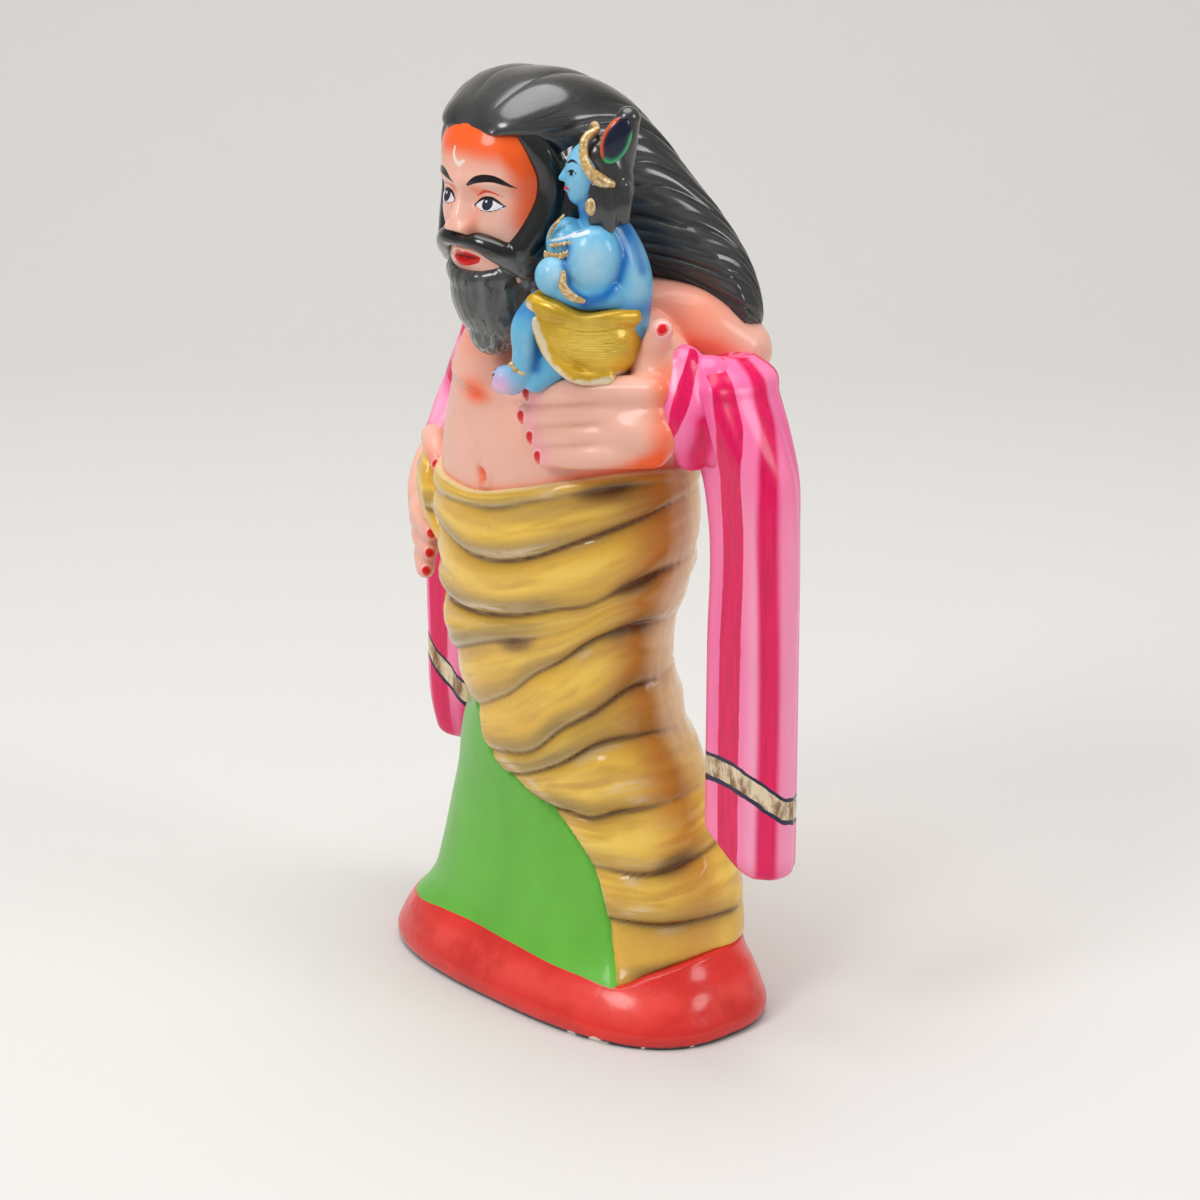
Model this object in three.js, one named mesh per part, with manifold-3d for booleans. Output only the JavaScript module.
// A hand-painted festival doll: a bearded man in a folded waist cloth, on a low oval base, who carries a
// small seated child on his left forearm. Cloth, hair, limbs and child are cast together as one piece.
// Millimetres, +Z up. The doll faces -Y, its left side is +X, and the origin is the underside's middle.
import * as THREE from "three";
import { mergeVertices } from "three/addons/utils/BufferGeometryUtils.js";
import Module from "manifold-3d";

const wasm = await Module();
wasm.setup();

// Driving dimensions
const HEIGHT = 279.4;
const WIDTH = 177.8;
const DRAPE_BOTTOM = 55.5; // where the longer end of the shawl stops
const FOREARM_TOP = 204; // where the shawl turns over the left forearm
const FINGER_R = 3.1;
const FOLD_DEPTH = 2.7;
const CLOTH_EDGE = 1.3; // how far the waist cloth stands proud of what it lies on
const LOCK_DEPTH = 1.3;

const COLOURS = { doll: 0xe7a48c };

// Sections of the standing figure from the underside up: half width, half depth, middle and squareness.
const BODY = [
  { z: 0, wide: 66, deep: 34.6, y: 0, square: 2.7 },
  { z: 1.5, wide: 67, deep: 35.5, y: 0, square: 2.7 },
  { z: 9, wide: 65.5, deep: 34.5, y: 0.3, square: 2.7 },
  { z: 14, wide: 63, deep: 33, y: 1, square: 2.6 },
  { z: 18, wide: 60, deep: 31.5, y: 2, square: 2.5 },
  { z: 22, wide: 58, deep: 31, y: 3, square: 2.4 },
  { z: 31, wide: 56.5, deep: 30.5, y: 4.5, square: 2.3 },
  { z: 44, wide: 53.5, deep: 29, y: 5, square: 2.3 },
  { z: 60, wide: 47.5, deep: 27.5, y: 3.5, square: 2.2 },
  { z: 80, wide: 43, deep: 27, y: -0.5, square: 2.1 },
  { z: 90, wide: 38.5, deep: 26, y: -2, square: 2.1 },
  { z: 100, wide: 37, deep: 25.8, y: -3.5, square: 2.1 },
  { z: 109, wide: 35.5, deep: 25.5, y: -4.5, square: 2.1 },
  { z: 118, wide: 36.5, deep: 26.5, y: -5, square: 2.1 },
  { z: 127, wide: 40, deep: 28, y: -5, square: 2.1 },
  { z: 137, wide: 43.5, deep: 29.5, y: -5, square: 2.1 },
  { z: 160, wide: 44, deep: 31, y: -4, square: 2.1 },
  { z: 175, wide: 41, deep: 31.5, y: -3, square: 2.1 },
  { z: 190, wide: 40, deep: 29.5, y: -1, square: 2.2 },
  { z: 203, wide: 42, deep: 23, y: 4, square: 2.4 },
  { z: 212, wide: 43, deep: 20, y: 7, square: 2.4 },
  { z: 221, wide: 32, deep: 17, y: 4, square: 2.2 },
  { z: 230, wide: 18, deep: 14, y: -2, square: 2 },
];

// The valleys of the cloth from the hem of the base up. Each one dips at the front and climbs to the left.
const FOLDS = [
  { front: 34, side: 36 },
  { front: 44, side: 53 },
  { front: 56, side: 68 },
  { front: 66, side: 87 },
  { front: 77, side: 106 },
  { front: 93, side: 124 },
  { front: 107, side: 132 },
  { front: 121, side: 141 },
  { front: 138, side: 158 },
];
const HEM = { front: 157.5, side: 168 };
const BASE_ROWS = [0, 1.5, 9, 14, 18, 21.5];
const TORSO_ROWS = [0.22, 0.45, 0.62, 0.78, 1]; // shares of the way from the waist cloth's hem to the neck

// The lower edge of the waist cloth over the plain skirt: its angle from the front at each height.
const CLOTH_EDGE_LINE = [
  { z: 19, turn: 42 },
  { z: 37, turn: 41 },
  { z: 46, turn: 38 },
  { z: 55, turn: 32 },
  { z: 62, turn: 22 },
  { z: 69, turn: 4 },
  { z: 74, turn: -15 },
  { z: 79, turn: -26 },
  { z: 88, turn: -60 },
  { z: 92, turn: -100 },
];

// The swept-back hair is cut by planes that fan round a line through the jaw, from the hairline over the
// crown and down behind. Each gives its angle from straight back, its reach, its start and its half width.
const JAW = { y: -22, z: 222 };
const HAIR = [
  { angle: 116, reach: 46, start: 40, wide: 13, square: 2.1 },
  { angle: 111, reach: 49.6, start: 35, wide: 17, square: 2.2 },
  { angle: 102, reach: 54.9, start: 27, wide: 21.5, square: 2.3 },
  { angle: 91, reach: 57.4, start: 18, wide: 25, square: 2.5 },
  { angle: 77, reach: 58.6, start: 13, wide: 28.5, square: 2.4 },
  { angle: 63, reach: 57.5, start: 12, wide: 33, square: 2.4 },
  { angle: 49, reach: 55.5, start: 12, wide: 37.5, square: 2.5 },
  { angle: 35, reach: 53.5, start: 12, wide: 42, square: 2.6 },
  { angle: 21, reach: 52.8, start: 13, wide: 48, square: 2.7 },
  { angle: 7, reach: 53, start: 17, wide: 54, square: 2.9 },
  { angle: -6, reach: 53.5, start: 22, wide: 58, square: 3 },
  { angle: -15, reach: 54, start: 26, wide: 59, square: 3 },
  { angle: -20, reach: 54, start: 29, wide: 56, square: 2.8 },
];

const rad = THREE.MathUtils.degToRad;
const ease = THREE.MathUtils.smoothstep;
const mix = THREE.MathUtils.lerp;
const range = (count) => Array.from({ length: count }, (_, i) => i);
const point = (x, y, z) => new THREE.Vector3(x, y, z);

// A smooth reading of one column of a table of sections.
function smooth(table, key, by) {
  const places = table.map((row) => row[by]);
  const values = table.map((row) => row[key]);
  const curve = new THREE.CubicInterpolant(places, values, 1);
  return (at) => curve.evaluate(THREE.MathUtils.clamp(at, places[0], places.at(-1)))[0];
}

// A closed skin through equal rings of points, with a fan over each end.
function skin(rings) {
  const around = rings[0].length;
  const ends = [rings[0], rings.at(-1)].map((ring) =>
    ring.reduce((sum, p) => sum.add(p), point(0, 0, 0)).divideScalar(around),
  );
  const places = [...rings.flat(), ...ends].flatMap((p) => p.toArray());
  const first = rings.length * around;
  const faces = [];
  for (const i of range(around)) {
    const j = (i + 1) % around;
    for (const k of range(rings.length - 1)) {
      const [low, high] = [k * around, (k + 1) * around];
      faces.push(low + i, low + j, high + j, low + i, high + j, high + i);
    }
    faces.push(first, j, i, first + 1, first - around + i, first - around + j);
  }
  const made = new THREE.BufferGeometry();
  made.setAttribute("position", new THREE.Float32BufferAttribute(places, 3));
  made.setIndex(faces);
  return made;
}

// A geometry as a solid, turned right side out.
function solid(geometry) {
  const bare = geometry.clone();
  bare.deleteAttribute("normal");
  bare.deleteAttribute("uv");
  const merged = mergeVertices(bare, 1e-4);
  const triVerts = new Uint32Array(merged.index.array);
  const vertProperties = merged.attributes.position.array;
  const made = new wasm.Manifold(new wasm.Mesh({ numProp: 3, vertProperties, triVerts }));
  if (made.volume() > 0) return made;
  const turned = triVerts.slice().reverse();
  return new wasm.Manifold(new wasm.Mesh({ numProp: 3, vertProperties, triVerts: turned }));
}

// A rounded form at a place, with its three half sizes and an optional turn about X, Y and Z in degrees.
function lump(x, y, z, wide, deep, tall, turn = [0, 0, 0], detail = 14) {
  const made = new THREE.SphereGeometry(1, detail, Math.round(detail * 0.6));
  const pose = new THREE.Matrix4().compose(
    point(x, y, z),
    new THREE.Quaternion().setFromEuler(new THREE.Euler(...turn.map(rad))),
    point(wide, deep, tall),
  );
  return solid(made.applyMatrix4(pose));
}

// A limb along a smooth path. Each stop is x, y, z and a radius, and both ends are rounded.
function limb(stops, sides = 10, steps = 9) {
  const path = new THREE.CatmullRomCurve3(stops.map(([x, y, z]) => point(x, y, z)));
  const thick = smooth(
    stops.map((stop, i) => ({ at: i / (stops.length - 1), r: stop[3] })),
    "r",
    "at",
  );
  const frames = path.computeFrenetFrames(steps, false);
  const ring = (i, push, shrink) => {
    const middle = path.getPointAt(i / steps).addScaledVector(frames.tangents[i], push);
    return range(sides).map((k) => {
      const angle = (2 * Math.PI * k) / sides;
      return middle
        .clone()
        .addScaledVector(frames.normals[i], shrink * Math.cos(angle))
        .addScaledVector(frames.binormals[i], shrink * Math.sin(angle));
    });
  };
  const start = thick(0);
  const end = thick(1);
  const rings = range(steps + 1).map((i) => ring(i, 0, thick(i / steps)));
  for (const out of sides > 8 ? [0.5, 0.9] : [0.75]) {
    const shrink = Math.sqrt(1 - out * out);
    rings.unshift(ring(0, -start * out, start * shrink));
    rings.push(ring(steps, end * out, end * shrink));
  }
  return solid(skin(rings));
}

const power = (value, square) => Math.sign(value) * Math.abs(value) ** (2 / square);

const readings = (table, keys) => Object.fromEntries(keys.map((key) => [key, smooth(table, key, "z")]));
const body = readings(BODY, ["wide", "deep", "y", "square"]);
const edgeTurn = smooth(CLOTH_EDGE_LINE, "turn", "z");

// A point on the figure's plain surface, at a turn in degrees from the front towards its left side.
function onBody(turn, z, proud) {
  const x = (body.wide(z) + proud) * power(Math.sin(rad(turn)), body.square(z));
  const y = body.y(z) - (body.deep(z) + proud) * power(Math.cos(rad(turn)), body.square(z));
  return point(x, y, z);
}

// How far a fold has climbed from its low front to the left side, from 0 to 1, falling again at the right.
function climb(turn) {
  return turn > -45 ? ease(turn, -15, 80) : ease(-turn, 45, 150);
}

// The height of a fold at a turn.
const rise = (fold, turn) => mix(fold.front, fold.side, climb(turn));

// Folds are deep in front, faint along the mould's seam on each side, and softer behind.
function foldStrength(turn) {
  const seam = 1 - 0.75 * Math.exp(-(((Math.abs(turn) - 92) / 20) ** 2));
  return seam * (Math.abs(turn) < 92 ? 1 : 0.6);
}

// 1 where the folded waist cloth covers the figure and 0 on the plain skirt below its slanting edge.
function clothCover(turn, z) {
  if (z < 20) return 0;
  if (z > 92) return 1;
  return turn < -100 ? ease(-turn, 100, 108) : ease(turn, edgeTurn(z) - 2.5, edgeTurn(z) + 2.5);
}

function figure() {
  const around = 32;
  const turns = range(around).map((i) => (360 * i) / around - 180);
  const valleys = [{ front: 24, side: 24 }, ...FOLDS, HEM];
  // Rise through a roll of cloth: a steep tuck under it, a full crest and a soft fall to the next valley.
  const steps = [
    { share: 0, puff: 0 },
    { share: 0.22, puff: 0.95 },
    { share: 0.62, puff: 0.85 },
  ];
  const rings = BASE_ROWS.map((z) => turns.map((turn) => onBody(turn, z, 0)));
  valleys.slice(0, -1).forEach((valley, i) => {
    const next = valleys[i + 1];
    for (const { share, puff } of steps)
      rings.push(
        turns.map((turn) => {
          const z = mix(rise(valley, turn), rise(next, turn), share);
          const cover = clothCover(turn, z);
          const sink = FOLD_DEPTH * (1 - puff) * foldStrength(turn);
          return onBody(turn, z, cover * (CLOTH_EDGE - sink));
        }),
      );
  });
  for (const lift of [0, 1.6])
    rings.push(turns.map((turn) => onBody(turn, rise(HEM, turn) + lift, lift ? -CLOTH_EDGE : CLOTH_EDGE)));
  const top = BODY.at(-1).z;
  for (const share of TORSO_ROWS)
    rings.push(turns.map((turn) => onBody(turn, mix(rise(HEM, turn), top, share), -CLOTH_EDGE)));
  return solid(skin(rings));
}

// Locks run along the hair from the hairline to the ends: every other line of points lies in a groove.
function mane() {
  const locks = 20;
  const rings = HAIR.map(({ angle, reach, start, wide, square }, k) => {
    const out = point(0, Math.cos(rad(angle)), Math.sin(rad(angle)));
    const widest = reach - Math.min(0.42 * (reach - start) + 0.12 * wide, 0.75 * (reach - start));
    const sink = LOCK_DEPTH * (k > 1 ? 1 : 0.3);
    return range(2 * locks).map((i) => {
      const turn = (Math.PI * i) / locks - Math.PI;
      const groove = i % 2 ? 1 - sink / 28 : 1;
      const side = power(Math.sin(turn), square);
      const rise = power(Math.cos(turn), square);
      const radius = widest + (rise > 0 ? reach - widest : widest - start) * rise * groove;
      const narrow = rise > 0 ? 1 : 1 + 0.3 * rise;
      return point(wide * side * groove * narrow, JAW.y + out.y * radius, JAW.z + out.z * radius);
    });
  });
  return solid(skin(rings));
}

function head() {
  const skull = lump(0, -18, 242, 22.5, 25.8, 28, [0, 0, 0], 14);
  const forehead = lump(0, -20, 254, 21.5, 24.5, 21, [0, 0, 0], 14);
  const nose = limb([[0, -42.4, 247, 1.8], [0, -44, 240, 2.4], [0, -42.6, 237.5, 2.8]], 6, 3);
  const lips = lump(0, -41, 228, 6, 2.6, 2.2, [0, 0, 0], 8);
  return [skull, forehead, nose, lips];
}

function beard() {
  const chin = lump(0, -24.5, 220, 17.5, 18.5, 20.5, [0, 0, 0], 14);
  const cheeks = [-1, 1].map((side) =>
    limb([[side * 20.5, -14, 250, 3.5], [side * 18.5, -18, 238, 6], [side * 12, -24, 226, 9]], 7, 4),
  );
  const whiskers = [-1, 1].map((side) =>
    limb([[side * 1.5, -42.6, 233.6, 2], [side * 9, -40, 232, 2.4], [side * 15, -32.5, 229.5, 1.5]], 6, 3),
  );
  return [chin, ...cheeks, ...whiskers];
}

// One end of the shawl as a soft slab. Its sections give a height, a middle and half sizes, and its hem
// climbs from the outer back corner to the inner front one.
function fall(side, sections, hemHigh) {
  const around = 16;
  const table = readings(sections, ["x", "y", "wide", "deep"]);
  const top = sections.at(-1).z;
  const rings = sections.map(({ z }, k) =>
    range(around).map((i) => {
      const turn = (2 * Math.PI * i) / around - Math.PI;
      const across = power(Math.sin(turn), 2.6);
      const along = -power(Math.cos(turn), 2.6);
      const pleat = 1 - 0.035 * (1 + Math.cos(5 * turn + 0.6)) * (k > 0 ? 1 : 0);
      const inward = (2 - across - along) / 4;
      const climbing = hemHigh * inward ** 2.2 * (1 - (z - DRAPE_BOTTOM) / (top - DRAPE_BOTTOM)) ** 3;
      return point(
        side * (table.x(z) + table.wide(z) * pleat * across),
        table.y(z) + table.deep(z) * pleat * along,
        z + climbing,
      );
    }),
  );
  return solid(skin(side > 0 ? rings : rings.map((ring) => ring.slice().reverse())));
}

// The shawl over the left forearm: its long fall outside, and a bunched lobe by the wrist.
function leftShawl() {
  const x = WIDTH / 2 - 16;
  return [
    fall(1, [
      { z: DRAPE_BOTTOM, x, y: 1.5, wide: 13, deep: 7.5 },
      { z: DRAPE_BOTTOM + 3, x, y: 1.5, wide: 16, deep: 10 },
      { z: 78, x, y: 1.5, wide: 16, deep: 10 },
      { z: 120, x, y: 1.5, wide: 16, deep: 10 },
      { z: 158, x, y: 1.5, wide: 15.5, deep: 10 },
      { z: 172, x: x - 1.8, y: 1.5, wide: 14.5, deep: 12 },
      { z: 184, x: x - 5.2, y: 0.5, wide: 13, deep: 14 },
      { z: 194, x: x - 8.2, y: 0, wide: 11, deep: 14.5 },
      { z: 201, x: x - 10, y: 1, wide: 8.5, deep: 13.5 },
      { z: FOREARM_TOP, x: x - 11.5, y: 2, wide: 4, deep: 9 },
    ], 28),
    limb([[57, -11, 202, 6.5], [60, -12, 190, 8.5], [63, -10, 176, 7.5], [67, -6, 165, 5]], 10, 5),
  ];
}

// The shawl on the right: a sleeve over the upper arm, and an end that hangs behind the bent elbow.
function rightShawl() {
  const x = WIDTH / 2 - 14.5;
  return [
    fall(-1, [
      { z: DRAPE_BOTTOM - 3, x, y: 17.5, wide: 11.5, deep: 6 },
      { z: DRAPE_BOTTOM, x, y: 17.5, wide: 14.5, deep: 8.5 },
      { z: 90, x, y: 17.5, wide: 14.5, deep: 8.5 },
      { z: 125, x, y: 17, wide: 14.5, deep: 8.5 },
      { z: 146, x: x - 2, y: 15, wide: 14, deep: 9.5 },
      { z: 160, x: x - 6, y: 13.5, wide: 11, deep: 9 },
    ], 3),
    limb([[-43, 11, 205, 9], [-49, 10, 188, 10.5], [-57, 11, 171, 11.5], [-66, 12.5, 154, 11.5]], 10, 5),
  ];
}

function shoulders() {
  return [
    limb([[-30, 6, 210, 9.5], [-42, 11, 205, 9.5], [-46, 12, 196, 9]], 8, 3),
    limb([[32, -1, 213, 10.5], [43, 5, 210, 11.5], [52, 14.5, 202.5, 9.8]], 9, 3),
    limb([[43, -13, 208, 8.5], [50, -13, 202, 9.5], [54, -15, 188, 8.5]], 8, 3),
    limb([[52, -17, 205, 4], [56, -18.5, 214, 3.6]], 6, 2),
  ];
}

// The left hand lies flat across the belly: four long fingers side by side below the child.
function leftHand() {
  const fingers = range(4).map((i) => {
    const z = 191.5 - 5.6 * i;
    const tip = 16.5 + 3 * i;
    return limb(
      [[tip, -33.5, z, FINGER_R], [tip + 13, -33.5, z, FINGER_R + 0.3], [55, -21, z + 0.5, FINGER_R + 0.6]],
      6,
      4,
    );
  });
  return [...fingers, lump(42, -19.5, 183, 21, 13, 14, [0, 0, 0], 12)];
}

// The right forearm comes forward to the hip, where the hand gathers the cloth.
function rightHand() {
  const arm = limb([[-67, 12, 154, 9], [-66, 3, 148, 8], [-61, -5, 141, 8], [-57, -9, 132, 6.5]], 8, 4);
  const thumb = limb([[-60, -6, 151, 4], [-50, -15, 158, 3.4], [-43, -20, 158.5, 3]], 6, 3);
  const fingers = range(3).map((i) =>
    limb(
      [[-63 + i, -6, 137 - 6 * i, 4], [-57 + i, -13, 134 - 6.3 * i, 3.4], [-49, -18, 134 - 6.6 * i, 2.8]],
      6,
      3,
    ),
  );
  const bunch = limb([[-49, -12, 160, 6], [-49, -14, 148, 8], [-46, -13, 130, 7]], 8, 3);
  return [arm, thumb, ...fingers, bunch];
}

// The seated child, made facing -X about its own seat and then turned towards the man's chest.
function child() {
  const hips = [
    lump(4.5, -1, 11.5, 12, 10.5, 11.5, [0, 0, 0], 12),
    limb([[4, -2, 10.5, 10], [-6, -1.5, 12.5, 9.5], [-12, -0.5, 15, 7.5]], 9, 3),
  ];
  const legs = [
    limb([[-14, -1.5, 12.5, 4.6], [-17.5, 0, 2, 3.8], [-21, 2.5, -2.5, 3.3], [-25.5, 5, -5, 2.6]], 7, 5),
    limb([[-6, -1, 6, 4.5], [-14, 1, -1.5, 3]], 6, 2),
  ];
  const trunk = [
    limb([[7, 1, 18, 9], [7, 1, 28, 9.8], [4, 1, 38, 7.5], [1.5, 0.5, 46, 4]], 9, 4),
    lump(6, -6, 30.5, 8.4, 6, 10.5, [0, 8, 0], 12),
    lump(-5.5, -5, 28, 7.6, 5.4, 6.6, [0, -20, 0], 10),
  ];
  const face = lump(-1.5, 0, 56, 7.2, 7.2, 9.4, [0, 6, 0], 12);
  const nose = limb([[-7.8, 0, 57.5, 0.9], [-9, 0, 54.6, 1.2]], 5, 2);
  const locks = [
    limb([[1, 0, 61, 7], [5.5, 0, 57, 8.4], [7, -0.5, 48, 7.2], [6, -1, 42, 5.4]], 9, 4),
    limb([[8, 1, 60, 5.4], [10.5, 1, 72, 3]], 7, 2),
    lump(8.2, -4.5, 67.5, 4.2, 2.2, 8, [0, 30, 0], 8),
  ];
  const band = limb([[-4, -5, 64.5, 1.7], [-0.5, -7.3, 58, 1.9], [3.6, -8.2, 53.8, 1.6]], 5, 3);
  const earring = lump(-0.5, -7.2, 47.8, 2.6, 1.4, 3, [0, 0, 0], 7);
  return [...hips, ...legs, ...trunk, face, nose, ...locks, band, earring].map((form) =>
    form.rotate([0, 0, 48]).translate([36.9, -27.8, 199]),
  );
}

// A mesh of the united solid, its triangles facing out.
function meshOf(made, name) {
  const data = made.getMesh();
  const places = new Float32Array(data.numVert * 3);
  for (const i of range(data.numVert))
    places.set(data.vertProperties.subarray(i * data.numProp, i * data.numProp + 3), i * 3);
  const geometry = new THREE.BufferGeometry();
  geometry.setAttribute("position", new THREE.BufferAttribute(places, 3));
  geometry.setIndex(new THREE.BufferAttribute(data.triVerts, 1));
  geometry.computeVertexNormals();
  const material = new THREE.MeshStandardMaterial({ color: COLOURS[name], roughness: 0.25, metalness: 0 });
  const mesh = new THREE.Mesh(geometry, material);
  mesh.name = name;
  return mesh;
}

const forms = [
  figure(),
  mane(),
  ...head(),
  ...beard(),
  ...leftShawl(),
  ...rightShawl(),
  ...shoulders(),
  ...leftHand(),
  ...rightHand(),
  ...child(),
];
// The cast is one outer skin, so the small pockets that the forms close in between them are filled.
const united = forms.reduce((sum, form) => sum.add(form));
const doll = united.decompose().reduce((most, piece) => (piece.volume() > most.volume() ? piece : most));

const part = new THREE.Group();
part.add(meshOf(doll, "doll"));
export default part;
